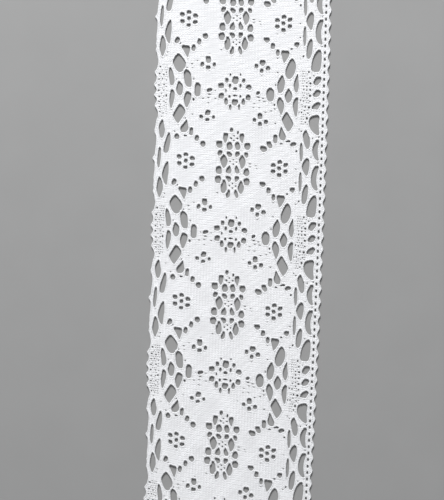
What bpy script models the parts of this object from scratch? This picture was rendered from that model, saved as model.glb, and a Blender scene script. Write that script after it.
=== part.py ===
# Cotton bobbin lace trim, one cut length lying flat: metres, +Z up, length along Y
from collections import namedtuple
from math import cos, exp, pi, sin, tau

import bpy
from mathutils import Vector
from mathutils.geometry import delaunay_2d_cdt

MM = 0.001

# Driving sizes, in millimetres
THICKNESS = 1.2
REPEAT = 66.0
REPEATS = 4
FIRST_CUT = -16.4       # chart height of the first cut, between two rows of net
RIM_POINTS = 8          # corners round each hole

# How unevenly the trim lies in the photo
SKEW_AT_START = 0.016   # how far a cross row runs down, per mm across
SKEW_GROWTH = 0.00046   # and how much more per mm along
MIDDLE = 107.0          # chart height of the middle of the view
CURVE = 0.62            # sideways bend, in mm at 100 mm from the middle
CREEP = 0.2             # shift along the strip, in mm at 100 mm from the middle
TAPER = 0.000095        # how much narrower it gets per mm along
ACROSS_SCALE = 0.986    # the chart's width to the real one

# The left edge is drawn in towards the near end
DRAWN_IN = 1.25
DRAWN_UP = 1.1
DRAWN_FROM = 172.0      # chart height where this starts
DRAWN_LENGTH = 40.0     # and how far on it is complete
DRAWN_INNER = -18.0     # chart place across where it fades out
DRAWN_WIDTH = 18.0

# Left edge, where the net ends in plaits
LEFT_EDGE = -36.8
LEFT_STEP = 1.5

# Right edge, the footing with a picot every 6 mm
RIGHT_EDGE = 42.75
PICOT_REACH = 1.0
PICOT_POINT = 1.3       # above 1 the picots are narrower than the curves between them
PICOT_PITCH = 6.0
FIRST_PICOT = 4.9

COTTON_WHITE = (0.90, 0.90, 0.88, 1.0)
COTTON_ROUGHNESS = 0.9

# Bumps on the left edge: how far down, how far they stand out, how long they are
Bump = namedtuple("Bump", "down out half")
LEFT_BUMPS = (
    Bump(-0.2, 1.1, 1.2),
    Bump(9.0, 0.4, 2.2),
    Bump(12.3, 0.5, 1.1),
    Bump(15.2, 0.6, 1.2),
    Bump(20.8, -0.7, 2.6),
    Bump(25.6, 0.9, 1.2),
    Bump(31.3, 1.2, 1.3),
    Bump(36.1, 1.3, 1.2),
    Bump(38.5, -0.35, 5.0),
    Bump(41.0, 1.0, 1.3),
    Bump(45.4, -0.95, 2.6),
    Bump(53.0, 0.6, 1.4),
    Bump(57.5, -0.5, 3.0),
)

# A hole in the chart of one repeat. across and down place its middle, wide and tall size it.
# head and foot are the roundness of its ends: 1.2 is pointed, 2 is round, 4 is square.
# belly moves its widest level up, lean its head sideways, slant its right side up
# and bow its middle sideways.
Hole = namedtuple("Hole", "across down wide tall head foot belly lean slant bow",
                  defaults=(2.0, 2.0, 0.0, 0.0, 0.0, 0.0))

# Net between the left edge and the flower columns
LEFT_NET = (
    Hole(-34.7, -0.8, 1.7, 10.2, 1.6, 1.6, 0.0, 0.5),
    Hole(-30.9, 6.2, 3.0, 11.5, 1.3, 1.6, 0.0, 0.6, 0.0, -0.75),
    Hole(-34.3, 13.1, 2.8, 10.1, 1.7, 1.6, -0.1, -0.1, 0.0, 0.2),
    Hole(-23.0, 15.1, 3.8, 5.8, 3.5, 1.2, 0.65, -1.2),
    Hole(-26.3, 20.6, 6.3, 8.8, 1.3, 1.5, 0.05, -0.9),
    Hole(-30.1, 26.9, 2.5, 8.6, 1.4, 2.6, -0.1, -1.0, 0.0, 0.35),
    Hole(-22.2, 27.5, 3.5, 8.1, 2.6, 2.6, 0.1, -1.4),
    Hole(-25.9, 32.3, 3.2, 6.8, 1.5, 2.0, 0.0, -0.4),
    Hole(-17.5, 32.4, 3.0, 6.5, 2.4, 2.4),
    Hole(-22.2, 37.4, 3.4, 7.7, 2.6, 1.3, 0.2, 0.6),
    Hole(-29.6, 37.6, 2.3, 9.3, 2.4, 1.3, 0.1, 0.5, 0.0, 0.2),
    Hole(-25.9, 44.0, 5.9, 9.2, 1.2, 1.2, 0.0, 0.9, 1.4),
    Hole(-23.0, 49.6, 3.6, 6.3, 1.2, 2.2, -0.3, 1.6),
    Hole(-33.8, 51.7, 2.9, 9.0, 1.3, 1.7, 0.0, 0.1),
    Hole(-31.0, 58.0, 2.8, 10.0, 1.3, 2.4, -0.1, 1.5),
)

# Net between the flower columns and the footing
RIGHT_NET = (
    Hole(34.7, -1.9, 3.3, 8.2, 1.9, 1.8, 0.05, 0.2, 0.0, -0.75),
    Hole(31.7, 5.2, 1.6, 9.4, 1.5, 1.5),
    Hole(34.1, 10.8, 2.9, 9.3, 1.7, 1.6, -0.1, 1.1),
    Hole(22.7, 14.9, 3.8, 5.7, 3.5, 1.4, 0.6, 0.5),
    Hole(25.6, 20.0, 5.0, 9.5, 1.2, 2.0, 0.0, 0.9, 1.5),
    Hole(28.7, 26.4, 2.2, 9.0, 1.3, 2.4, -0.2, 0.5, 0.0, -0.3),
    Hole(21.3, 27.4, 3.2, 8.5, 1.5, 2.6, 0.1, 0.9),
    Hole(16.4, 32.6, 3.5, 6.3, 3.0, 2.4),
    Hole(24.9, 32.4, 3.3, 6.8, 1.4, 2.0),
    Hole(21.3, 37.6, 3.1, 8.4, 2.2, 1.3, 0.1, -0.9, 0.0, 0.1),
    Hole(28.9, 37.5, 2.3, 9.1, 2.6, 1.6, 0.1, 0.1, 0.0, -0.7),
    Hole(24.8, 44.4, 5.4, 9.4, 1.25, 1.2, 0.0, -0.8, -1.9),
    Hole(22.4, 49.8, 3.0, 6.5, 1.2, 2.6, -0.35, -1.1),
    Hole(19.4, 52.5, 2.1, 4.0, 2.6, 2.6),
    Hole(33.9, 51.7, 3.1, 8.7, 1.4, 2.1, 0.2, -1.2),
    Hole(31.7, 57.7, 1.7, 9.0, 1.5, 1.5, 0.0, -0.2),
)

# The column of large holes beside the footing
FOOTING_HOLES = (
    Hole(39.35, 2.8, 2.6, 11.3, 3.4, 3.6, 0.0, 0.2, 0.0, -1.4),
    Hole(37.7, 15.9, 4.6, 10.2, 1.9, 2.8, -0.4, 1.6),
    Hole(38.1, 24.9, 3.3, 4.1, 2.2, 2.2, 0.0, 1.4),
    Hole(38.1, 30.6, 3.3, 3.4, 2.2, 2.2, 0.0, 1.2),
    Hole(38.0, 36.2, 3.5, 3.4, 2.0, 3.0, 0.0, 1.7),
    Hole(38.75, 44.9, 4.6, 9.1, 2.6, 2.4, 0.35, -0.6, -0.5, -1.7),
    Hole(39.5, 56.2, 2.4, 9.5, 3.4, 2.8, 0.0, -0.2, 0.0, -1.4),
)

# Left half of the crossed trails down the middle, mirrored to make the right half
TRAILS = (
    Hole(-3.9, -12.2, 2.4, 4.7, 4.0, 1.4, 0.3, 0.2),
    Hole(-6.7, -9.1, 3.0, 3.2, 4.0, 3.0),
    Hole(-1.9, -8.7, 2.7, 3.9, 1.8, 3.0, 0.0, 0.2),
    Hole(-6.3, -5.0, 2.3, 2.6, 3.0, 1.6, 0.2, 0.5),
    Hole(-1.9, -4.7, 2.5, 2.6, 3.0, 1.6, 0.2, -0.7),
    Hole(-4.4, -1.3, 3.4, 6.6, 1.6, 1.4, 0.1),
    Hole(-6.6, 2.7, 2.9, 3.7, 2.0, 4.0, -0.2),
    Hole(-1.9, 2.2, 2.4, 3.9, 1.3, 4.0, -0.2, 0.6),
    Hole(-6.8, 7.3, 3.0, 3.4, 4.0, 3.0),
    Hole(-1.9, 6.7, 2.4, 2.8, 4.0, 1.6, 0.3, -0.6),
    Hole(-4.1, 10.1, 3.0, 6.4, 1.4, 2.4, -0.1),
    Hole(-1.9, 13.4, 1.9, 4.1, 1.6, 2.4, -0.1, 0.8),
)

# Rosette in the middle of the cloth: two holes on its axis and the left of two pairs
ROSETTE_AXIS = (
    Hole(0.0, 26.9, 2.9, 3.6, 3.0, 3.2),
    Hole(0.0, 37.1, 2.9, 2.9, 4.0, 2.6),
)
ROSETTE_SIDES = (
    Hole(-6.6, 29.8, 2.8, 2.4, 2.8, 3.6, 0.0, 0.0, 0.3),
    Hole(-6.4, 34.6, 2.6, 2.6, 4.0, 3.6, 0.0, 0.2),
)
RIGHT_HALF_ACROSS = 0.96    # the right half is a little narrower, as in the photo
RIGHT_HALF_WIDE = 0.88
RIGHT_HALF_UP = 0.3         # and further up near the middle


def clear_scene():
    for thing in list(bpy.data.objects):
        bpy.data.objects.remove(thing, do_unlink=True)


def mirrored(hole):
    up = RIGHT_HALF_UP if hole.across > -5 else 0.0
    return hole._replace(
        across=-hole.across * RIGHT_HALF_ACROSS,
        down=hole.down - up,
        wide=hole.wide * RIGHT_HALF_WIDE,
        lean=-hole.lean,
        slant=-hole.slant,
        bow=-hole.bow,
    )


def holes_of_one_repeat():
    paired = TRAILS + ROSETTE_SIDES
    right_halves = tuple(mirrored(hole) for hole in paired)
    return LEFT_NET + RIGHT_NET + FOOTING_HOLES + ROSETTE_AXIS + paired + right_halves


def signed_power(value, power):
    size = abs(value) ** power
    return size if value > 0 else -size


def rim(hole, down_by):
    # The hole's outline in the chart, as (across, down) corners
    corners = []
    for step in range(RIM_POINTS):
        angle = tau * step / RIM_POINTS
        roundness = hole.head if sin(angle) > 0 else hole.foot
        side = signed_power(cos(angle), 2 / roundness) if abs(cos(angle)) > 1e-6 else 0.0
        level = signed_power(sin(angle), 2 / roundness) if abs(sin(angle)) > 1e-6 else 0.0
        reach = 1 - hole.belly if level > 0 else 1 + hole.belly
        height = hole.tall / 2 * (hole.belly + level * reach)
        across = side * hole.wide / 2
        across += hole.lean * height / hole.tall
        across += hole.bow * (1 - (2 * height / hole.tall) ** 2)
        height += hole.slant * side / 2
        corners.append((hole.across + across, down_by + hole.down - height))
    return corners


def left_edge(down):
    place = (down + REPEAT / 4) % REPEAT - REPEAT / 4
    out = 0.0
    for bump in LEFT_BUMPS:
        for turn in (-REPEAT, 0.0, REPEAT):
            out += bump.out * exp(-((place - bump.down + turn) / bump.half) ** 2)
    return LEFT_EDGE - out


def right_edge(down):
    wave = 0.5 + 0.5 * cos(tau * (down - FIRST_PICOT) / PICOT_PITCH)
    return RIGHT_EDGE + PICOT_REACH * wave ** PICOT_POINT


def steps_between(first, last, start, pitch, offsets):
    # Chart heights at the given offsets round every pitch, kept clear of both ends
    found = []
    turn = int((first - start) // pitch) - 1
    while start + turn * pitch < last + pitch:
        for offset in offsets:
            height = start + turn * pitch + offset
            if first + 0.5 < height < last - 0.5:
                found.append(height)
        turn += 1
    return found


def strip_outline(first, last):
    left_heights = steps_between(first, last, 0.0, LEFT_STEP, (0.0,))
    right_heights = steps_between(first, last, FIRST_PICOT, PICOT_PITCH, (-2.0, -0.5, 0.5, 2.0))
    left_side = [(left_edge(down), down) for down in [first] + left_heights + [last]]
    right_side = [(right_edge(down), down) for down in [first] + right_heights + [last]]
    return left_side + right_side[::-1]


def inside(point, loop):
    # Even and odd crossings of a ray to the right
    x, y = point
    within = False
    for (ax, ay), (bx, by) in zip(loop, loop[1:] + loop[:1]):
        if (ay > y) != (by > y) and x < ax + (bx - ax) * (y - ay) / (by - ay):
            within = not within
    return within


def near(point, loop):
    xs = [corner[0] for corner in loop]
    ys = [corner[1] for corner in loop]
    return min(xs) <= point[0] <= max(xs) and min(ys) <= point[1] <= max(ys)


def flat_cloth(outline, rims):
    # Triangles of the outline less every hole; holes on a cut end come out as open notches
    points = []
    edges = []
    for loop in [outline] + rims:
        start = len(points)
        points += [Vector(corner) for corner in loop]
        edges += [(start + i, start + (i + 1) % len(loop)) for i in range(len(loop))]
    made = delaunay_2d_cdt(points, edges, [], 0, 1e-5)
    corners, triangles = made[0], made[2]
    kept = []
    for triangle in triangles:
        middle = sum((corners[i] for i in triangle), Vector((0.0, 0.0))) / 3
        if not inside(middle, outline):
            continue
        if any(near(middle, loop) and inside(middle, loop) for loop in rims):
            continue
        kept.append(tuple(triangle))
    return corners, kept


def eased(value):
    # 0 below 0, 1 above 1 and a smooth rise between
    held = min(max(value, 0.0), 1.0)
    return held * held * (3 - 2 * held)


def lie(across, down):
    # Chart place to the place on the table, with the trim's own skew and bend, in millimetres
    from_middle = down - MIDDLE
    drawn = eased((down - DRAWN_FROM) / DRAWN_LENGTH) * eased((DRAWN_INNER - across) / DRAWN_WIDTH)
    x = across * ACROSS_SCALE * (1 - TAPER * from_middle) - CURVE * (from_middle / 100) ** 2
    y = -down - across * (SKEW_AT_START + SKEW_GROWTH * down) + CREEP * (from_middle / 100) ** 2
    return x + DRAWN_IN * drawn, y + DRAWN_UP * drawn


def thick_cloth(corners, triangles):
    # Lay the flat pattern down, turn it face up and give it a top, a bottom and walls
    used = sorted({i for triangle in triangles for i in triangle})
    number = {old: new for new, old in enumerate(used)}
    laid = [lie(corners[i].x, corners[i].y) for i in used]
    middle_x = (min(p[0] for p in laid) + max(p[0] for p in laid)) / 2
    middle_y = (min(p[1] for p in laid) + max(p[1] for p in laid)) / 2
    flat = [((x - middle_x) * MM, (y - middle_y) * MM) for x, y in laid]
    count = len(flat)
    verts = [(x, y, THICKNESS * MM) for x, y in flat] + [(x, y, 0.0) for x, y in flat]
    faces = []
    sides = {}
    for triangle in triangles:
        a, b, c = (number[i] for i in triangle)
        (ax, ay), (bx, by), (cx, cy) = flat[a], flat[b], flat[c]
        if (bx - ax) * (cy - ay) - (by - ay) * (cx - ax) < 0:
            b, c = c, b
        faces.append((a, b, c))
        faces.append((c + count, b + count, a + count))
        for side in ((a, b), (b, c), (c, a)):
            sides[side] = sides.get(side, 0) + 1
    for a, b in sides:
        if (b, a) not in sides:
            faces.append((a + count, b + count, b, a))
    return verts, faces


def cotton():
    material = bpy.data.materials.new("cotton")
    material.use_nodes = True
    shader = material.node_tree.nodes["Principled BSDF"]
    shader.inputs["Base Color"].default_value = COTTON_WHITE
    shader.inputs["Roughness"].default_value = COTTON_ROUGHNESS
    shader.inputs["Metallic"].default_value = 0.0
    return material


def build_lace():
    last_cut = FIRST_CUT + REPEAT * REPEATS
    outline = strip_outline(FIRST_CUT, last_cut)
    rims = []
    for turn in range(-1, REPEATS + 1):
        for hole in holes_of_one_repeat():
            loop = rim(hole, turn * REPEAT)
            heights = [corner[1] for corner in loop]
            if max(heights) > FIRST_CUT and min(heights) < last_cut:
                rims.append(loop)
    corners, triangles = flat_cloth(outline, rims)
    verts, faces = thick_cloth(corners, triangles)
    mesh = bpy.data.meshes.new("lace_trim")
    mesh.from_pydata(verts, [], faces)
    mesh.validate()
    mesh.update()
    mesh.materials.append(cotton())
    lace = bpy.data.objects.new("lace_trim", mesh)
    bpy.context.scene.collection.objects.link(lace)
    return lace


clear_scene()
build_lace()
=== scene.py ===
import math

import bpy
import numpy as np
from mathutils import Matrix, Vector
from mathutils.geometry import delaunay_2d_cdt


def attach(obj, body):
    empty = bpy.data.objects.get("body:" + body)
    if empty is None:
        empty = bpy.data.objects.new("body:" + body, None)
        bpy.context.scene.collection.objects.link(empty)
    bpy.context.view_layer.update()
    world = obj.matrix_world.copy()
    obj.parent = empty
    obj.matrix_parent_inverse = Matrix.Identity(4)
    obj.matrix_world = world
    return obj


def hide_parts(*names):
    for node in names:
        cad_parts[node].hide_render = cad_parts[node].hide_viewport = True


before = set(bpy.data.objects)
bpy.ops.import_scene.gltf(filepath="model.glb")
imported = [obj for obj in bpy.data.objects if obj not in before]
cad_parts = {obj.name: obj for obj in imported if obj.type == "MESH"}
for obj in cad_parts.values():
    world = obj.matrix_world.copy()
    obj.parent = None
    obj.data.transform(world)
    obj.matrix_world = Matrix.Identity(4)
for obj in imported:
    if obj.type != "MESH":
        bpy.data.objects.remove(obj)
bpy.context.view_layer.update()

mm = 0.001
tau = math.tau

# The photo looks almost straight down, from a little above the middle of the strip
eye = {"place": (-0.00708, 0.03668, 0.59987), "tilt": -2.326, "roll": 2.017, "lens": 92.9,
       "sensor": 36.0, "near": 0.01, "far": 10.0}

# The strip, in millimetres. Chart places are across (to the right) and down (towards the viewer).
trim = {"repeat": 66.0, "repeats": 4, "firstCut": -16.4, "wide": 81.5,
        "middleX": 2.345, "middleY": -117.872}

# How unevenly it lies: a skew that grows, a slight taper, and a slight bend across and creep along,
# both in mm at one stretch from the middle
unevenness = {"skew": 0.016, "skewGrowth": 0.00046, "middle": 107.0, "stretch": 100.0, "bend": 0.62,
              "creep": 0.2, "taper": 0.000095, "acrossScale": 0.986}

# The left edge is drawn in towards the near end
drawnIn = {"across": 1.25, "along": 1.1, "from": 172.0, "length": 40.0, "inner": -18.0, "width": 18.0}


def addCamera():
    lens = bpy.data.cameras.new("eye")
    lens.lens = eye["lens"]
    lens.sensor_width = eye["sensor"]
    lens.clip_start = eye["near"]
    lens.clip_end = eye["far"]
    camera = bpy.data.objects.new("eye", lens)
    camera.location = eye["place"]
    camera.rotation_euler = (math.radians(eye["tilt"]), 0.0, math.radians(eye["roll"]))
    bpy.context.scene.collection.objects.link(camera)
    bpy.context.scene.camera = camera


def eased(value):
    held = np.clip(value, 0, 1)
    return held * held * (3 - 2 * held)


def lie(across, down):
    # chart place to the place on the table, in millimetres
    fromMiddle = down - unevenness["middle"]
    drawn = eased((down - drawnIn["from"]) / drawnIn["length"])
    drawn = drawn * eased((drawnIn["inner"] - across) / drawnIn["width"])
    bent = (fromMiddle / unevenness["stretch"]) ** 2
    x = across * unevenness["acrossScale"] * (1 - unevenness["taper"] * fromMiddle)
    x = x - unevenness["bend"] * bent + drawnIn["across"] * drawn
    y = -down - across * (unevenness["skew"] + unevenness["skewGrowth"] * down)
    y = y + unevenness["creep"] * bent + drawnIn["along"] * drawn
    return x - trim["middleX"], y - trim["middleY"]


def hole(across, down, wide, tall, head=2.0, foot=2.0, belly=0.0, lean=0.0, slant=0.0, bow=0.0):
    # head and foot are the roundness of the ends: 1.2 is pointed, 2 round, 4 square. belly moves
    # the widest level up, lean the head sideways, slant the right side up and bow the middle sideways
    return {"across": across, "down": down, "wide": wide, "tall": tall, "head": head, "foot": foot,
            "belly": belly, "lean": lean, "slant": slant, "bow": bow}


def leftNet():
    return [
        hole(-34.7, -0.8, 1.7, 10.2, 1.6, 1.6, 0.0, 0.5),
        hole(-30.9, 6.2, 3.0, 11.5, 1.3, 1.6, 0.0, 0.6, 0.0, -0.75),
        hole(-34.3, 13.1, 2.8, 10.1, 1.7, 1.6, -0.1, -0.1, 0.0, 0.2),
        hole(-23.0, 15.1, 3.8, 5.8, 3.5, 1.2, 0.65, -1.2),
        hole(-26.3, 20.6, 6.3, 8.8, 1.3, 1.5, 0.05, -0.9),
        hole(-30.1, 26.9, 2.5, 8.6, 1.4, 2.6, -0.1, -1.0, 0.0, 0.35),
        hole(-22.2, 27.5, 3.5, 8.1, 2.6, 2.6, 0.1, -1.4),
        hole(-25.9, 32.3, 3.2, 6.8, 1.5, 2.0, 0.0, -0.4),
        hole(-17.5, 32.4, 3.0, 6.5, 2.4, 2.4),
        hole(-22.2, 37.4, 3.4, 7.7, 2.6, 1.3, 0.2, 0.6),
        hole(-29.6, 37.6, 2.3, 9.3, 2.4, 1.3, 0.1, 0.5, 0.0, 0.2),
        hole(-25.9, 44.0, 5.9, 9.2, 1.2, 1.2, 0.0, 0.9, 1.4),
        hole(-23.0, 49.6, 3.6, 6.3, 1.2, 2.2, -0.3, 1.6),
        hole(-33.8, 51.7, 2.9, 9.0, 1.3, 1.7, 0.0, 0.1),
        hole(-31.0, 58.0, 2.8, 10.0, 1.3, 2.4, -0.1, 1.5),
    ]


def rightNet():
    return [
        hole(34.7, -1.9, 3.3, 8.2, 1.9, 1.8, 0.05, 0.2, 0.0, -0.75),
        hole(31.7, 5.2, 1.6, 9.4, 1.5, 1.5),
        hole(34.1, 10.8, 2.9, 9.3, 1.7, 1.6, -0.1, 1.1),
        hole(22.7, 14.9, 3.8, 5.7, 3.5, 1.4, 0.6, 0.5),
        hole(25.6, 20.0, 5.0, 9.5, 1.2, 2.0, 0.0, 0.9, 1.5),
        hole(28.7, 26.4, 2.2, 9.0, 1.3, 2.4, -0.2, 0.5, 0.0, -0.3),
        hole(21.3, 27.4, 3.2, 8.5, 1.5, 2.6, 0.1, 0.9),
        hole(16.4, 32.6, 3.5, 6.3, 3.0, 2.4),
        hole(24.9, 32.4, 3.3, 6.8, 1.4, 2.0),
        hole(21.3, 37.6, 3.1, 8.4, 2.2, 1.3, 0.1, -0.9, 0.0, 0.1),
        hole(28.9, 37.5, 2.3, 9.1, 2.6, 1.6, 0.1, 0.1, 0.0, -0.7),
        hole(24.8, 44.4, 5.4, 9.4, 1.25, 1.2, 0.0, -0.8, -1.9),
        hole(22.4, 49.8, 3.0, 6.5, 1.2, 2.6, -0.35, -1.1),
        hole(19.4, 52.5, 2.1, 4.0, 2.6, 2.6),
        hole(33.9, 51.7, 3.1, 8.7, 1.4, 2.1, 0.2, -1.2),
        hole(31.7, 57.7, 1.7, 9.0, 1.5, 1.5, 0.0, -0.2),
    ]


def besideFooting():
    return [
        hole(39.35, 2.8, 2.6, 11.3, 3.4, 3.6, 0.0, 0.2, 0.0, -1.4),
        hole(37.7, 15.9, 4.6, 10.2, 1.9, 2.8, -0.4, 1.6),
        hole(38.1, 24.9, 3.3, 4.1, 2.2, 2.2, 0.0, 1.4),
        hole(38.1, 30.6, 3.3, 3.4, 2.2, 2.2, 0.0, 1.2),
        hole(38.0, 36.2, 3.5, 3.4, 2.0, 3.0, 0.0, 1.7),
        hole(38.75, 44.9, 4.6, 9.1, 2.6, 2.4, 0.35, -0.6, -0.5, -1.7),
        hole(39.5, 56.2, 2.4, 9.5, 3.4, 2.8, 0.0, -0.2, 0.0, -1.4),
    ]


def middleTrails():
    # left half; the right half is its mirror
    return [
        hole(-3.9, -12.2, 2.4, 4.7, 4.0, 1.4, 0.3, 0.2),
        hole(-6.7, -9.1, 3.0, 3.2, 4.0, 3.0),
        hole(-1.9, -8.7, 2.7, 3.9, 1.8, 3.0, 0.0, 0.2),
        hole(-6.3, -5.0, 2.3, 2.6, 3.0, 1.6, 0.2, 0.5),
        hole(-1.9, -4.7, 2.5, 2.6, 3.0, 1.6, 0.2, -0.7),
        hole(-4.4, -1.3, 3.4, 6.6, 1.6, 1.4, 0.1),
        hole(-6.6, 2.7, 2.9, 3.7, 2.0, 4.0, -0.2),
        hole(-1.9, 2.2, 2.4, 3.9, 1.3, 4.0, -0.2, 0.6),
        hole(-6.8, 7.3, 3.0, 3.4, 4.0, 3.0),
        hole(-1.9, 6.7, 2.4, 2.8, 4.0, 1.6, 0.3, -0.6),
        hole(-4.1, 10.1, 3.0, 6.4, 1.4, 2.4, -0.1),
        hole(-1.9, 13.4, 1.9, 4.1, 1.6, 2.4, -0.1, 0.8),
    ]


def rosetteSides():
    # left half; the right half is its mirror
    return [
        hole(-2.4, 24.5, 0.8, 1.3),
        hole(-4.0, 27.3, 1.7, 2.3, 3.4, 2.0),
        hole(-6.6, 29.8, 2.8, 2.4, 2.8, 3.6, 0.0, 0.0, 0.3),
        hole(-2.5, 29.7, 1.2, 2.0, 2.4, 2.4),
        hole(-6.4, 34.6, 2.6, 2.6, 4.0, 3.6, 0.0, 0.2),
        hole(-2.6, 34.6, 1.15, 1.5),
        hole(-4.1, 36.8, 1.8, 3.2, 1.5, 4.0),
        hole(-2.1, 39.5, 1.2, 3.0, 1.8, 1.6),
    ]


def rosetteMiddle():
    return [
        hole(0.0, 26.9, 2.9, 3.6, 3.0, 3.2),
        hole(0.0, 30.9, 2.0, 1.4, 3.0, 2.4),
        hole(0.0, 34.0, 2.2, 0.8),
        hole(0.0, 37.1, 2.9, 2.9, 4.0, 2.6),
        hole(-4.3, 32.0, 0.7, 1.7),
        hole(-12.0, 32.2, 2.7, 1.8, 2.0, 3.0, 0.0, 0.0, 0.7),
        hole(10.7, 32.2, 2.0, 1.7, 2.4, 2.0, 0.0, 0.4, 0.5),
        hole(-1.2, 50.1, 1.5, 2.5, 4.0, 1.5),
        hole(1.8, 50.9, 0.9, 1.8, 2.0, 2.0, 0.0, 0.2),
    ]


def arcs():
    # the short rows of holes above and below the seven-hole flowers
    return [
        hole(-27.4, 10.0, 2.4, 3.0, 1.6, 2.4, 0.0, 0.7),
        hole(-19.8, 13.2, 2.0, 3.2, 2.2, 2.2),
        hole(-17.2, 10.2, 1.8, 3.0, 2.6, 2.6),
        hole(-14.4, 7.6, 2.3, 2.7, 4.0, 2.4),
        hole(-20.0, 51.9, 1.8, 3.8, 2.4, 2.8, 0.0, 0.2),
        hole(-22.7, 54.1, 1.9, 0.8),
        hole(-26.7, 54.8, 2.2, 2.7, 2.6, 2.6),
        hole(-17.3, 54.9, 2.0, 2.8, 3.0, 2.6),
        hole(-14.4, 57.3, 2.3, 2.8, 3.0, 3.0),
        hole(28.1, 9.3, 2.6, 2.4, 4.0, 1.4, 0.2),
        hole(25.7, 11.2, 1.3, 0.8),
        hole(19.4, 13.3, 1.8, 3.0, 3.0, 2.2),
        hole(17.0, 10.4, 2.1, 2.7, 3.0, 3.0),
        hole(14.1, 7.8, 2.8, 2.4, 4.0, 2.0, 0.2),
        hole(25.3, 53.2, 2.5, 1.0, 2.2, 2.2, 0.0, 0.0, 0.6),
        hole(22.2, 54.5, 1.6, 0.7),
        hole(27.8, 54.4, 3.1, 2.0, 1.8, 2.0, 0.0, 0.0, 1.0),
        hole(16.7, 55.4, 2.5, 3.1, 3.0, 2.4, 0.0, -0.7),
        hole(14.0, 57.5, 3.0, 2.7, 3.4, 3.0, 0.0, -0.3),
        hole(29.4, 57.3, 1.0, 1.1),
        hole(31.3, 14.2, 0.8, 1.2, 2.0, 2.0, 0.0, 0.6),
    ]


# The right half is a little narrower, and further up near the middle, as in the photo
rightHalf = {"across": 0.96, "wide": 0.88, "up": 0.3, "upWithin": 5.0}


def mirrored(part):
    up = rightHalf["up"] if part["across"] > -rightHalf["upWithin"] else 0.0
    return dict(part, across=-part["across"] * rightHalf["across"], down=part["down"] - up,
                wide=part["wide"] * rightHalf["wide"], lean=-part["lean"], slant=-part["slant"],
                bow=-part["bow"])


def sevenHoleFlowers():
    return [
        hole(-22.2, -0.2, 1.8, 2.0, 2.4, 2.4),
        hole(-22.2, -3.1, 2.3, 1.8, 2.6, 2.6, 0.0, 0.0, -0.2),
        hole(-25.3, -1.9, 2.3, 2.2, 2.6, 2.6),
        hole(-19.2, -1.6, 2.4, 2.0, 2.6, 2.6),
        hole(-25.2, 1.3, 2.2, 2.0, 3.4, 3.0),
        hole(-19.3, 1.4, 2.2, 1.85, 3.2, 2.6, 0.0, 0.3, 0.2),
        hole(-22.3, 2.85, 2.1, 1.6, 2.6, 3.4),
        hole(21.6, -0.1, 2.0, 1.9, 2.6, 2.6),
        hole(21.8, -3.0, 2.5, 1.8, 2.6, 2.6, 0.0, 0.0, 0.4),
        hole(24.6, -1.9, 2.3, 1.9, 2.8, 2.6, 0.0, 0.0, 0.5),
        hole(18.8, -1.4, 2.2, 1.9, 3.4, 3.4),
        hole(24.6, 1.1, 2.1, 2.0, 2.8, 2.2),
        hole(18.8, 1.5, 2.1, 1.9, 3.2, 3.0),
        hole(21.7, 2.9, 2.3, 1.9, 2.2, 3.4),
    ]


def fourHoleFlowers():
    return [
        hole(-12.8, 18.2, 2.55, 3.15, 4.0, 2.6),
        hole(-15.6, 20.6, 1.7, 2.5, 2.6, 2.6, 0.0, 0.5),
        hole(-10.0, 20.4, 1.6, 2.0, 2.4, 2.4),
        hole(-12.8, 21.9, 2.4, 1.75, 3.4, 3.4, 0.0, 0.0, 0.2),
        hole(-12.5, 42.8, 2.5, 2.5, 4.0, 3.0, 0.0, 0.3),
        hole(-15.5, 44.8, 1.8, 2.0, 2.4, 2.6),
        hole(-9.8, 44.6, 1.45, 1.85, 2.4, 2.4),
        hole(-12.6, 46.0, 2.2, 1.5, 2.6, 3.0, 0.0, 0.0, 0.5),
        hole(12.4, 18.3, 2.65, 2.8, 4.0, 1.9),
        hole(9.6, 19.9, 1.8, 2.1, 3.4, 3.0),
        hole(15.0, 20.6, 2.1, 2.2, 2.6, 2.8),
        hole(12.1, 21.9, 1.85, 2.0, 2.6, 3.6),
        hole(11.9, 42.7, 2.35, 2.8, 4.0, 3.2),
        hole(9.35, 44.6, 1.7, 1.95, 2.4, 2.6),
        hole(14.75, 45.1, 1.95, 2.05, 3.2, 3.0),
        hole(12.0, 46.3, 2.0, 2.1, 2.4, 2.6),
    ]


footing = {"ladder": 41.25, "ladderPitch": 3.0, "ladderWide": 0.95, "ladderTall": 1.6,
           "ladderRoundness": 2.4, "ladderHoles": 22, "edge": 42.75, "picotPitch": 6.0,
           "firstPicot": 4.9, "picotPoint": 1.3}


def ladder():
    # the row of ladder holes along the footing
    roundness = footing["ladderRoundness"]
    return [hole(footing["ladder"], footing["ladderPitch"] * step, footing["ladderWide"],
                 footing["ladderTall"], roundness, roundness) for step in range(footing["ladderHoles"])]


def leftTrailDots():
    # across, down, wide, tall
    return ((-35.1, 22.9, 0.9, 1.0), (-35.4, 26.1, 0.9, 0.9), (-33.4, 26.4, 0.7, 0.9),
            (-35.6, 28.7, 0.9, 0.7), (-34.0, 28.4, 0.5, 0.9), (-35.6, 31.4, 0.8, 0.8),
            (-33.2, 31.0, 0.7, 0.9), (-35.6, 33.9, 0.8, 1.0), (-33.3, 33.7, 0.6, 0.7),
            (-35.3, 36.8, 0.9, 0.8), (-33.2, 36.4, 0.7, 0.7), (-32.1, 36.1, 0.7, 1.5),
            (-35.3, 39.1, 0.9, 0.8), (-33.1, 38.9, 0.6, 0.7), (-33.0, 40.9, 0.6, 0.7),
            (-35.1, 41.6, 0.9, 0.8), (-34.9, 43.9, 0.8, 0.7), (-33.4, 44.4, 0.7, 0.6),
            (-32.2, 25.3, 0.5, 0.8), (-32.1, 28.9, 0.5, 0.8), (-32.2, 31.9, 0.5, 0.7),
            (-32.2, 39.4, 0.5, 0.7), (-34.3, 35.2, 0.5, 0.6), (-34.2, 24.4, 0.5, 0.6))


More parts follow.
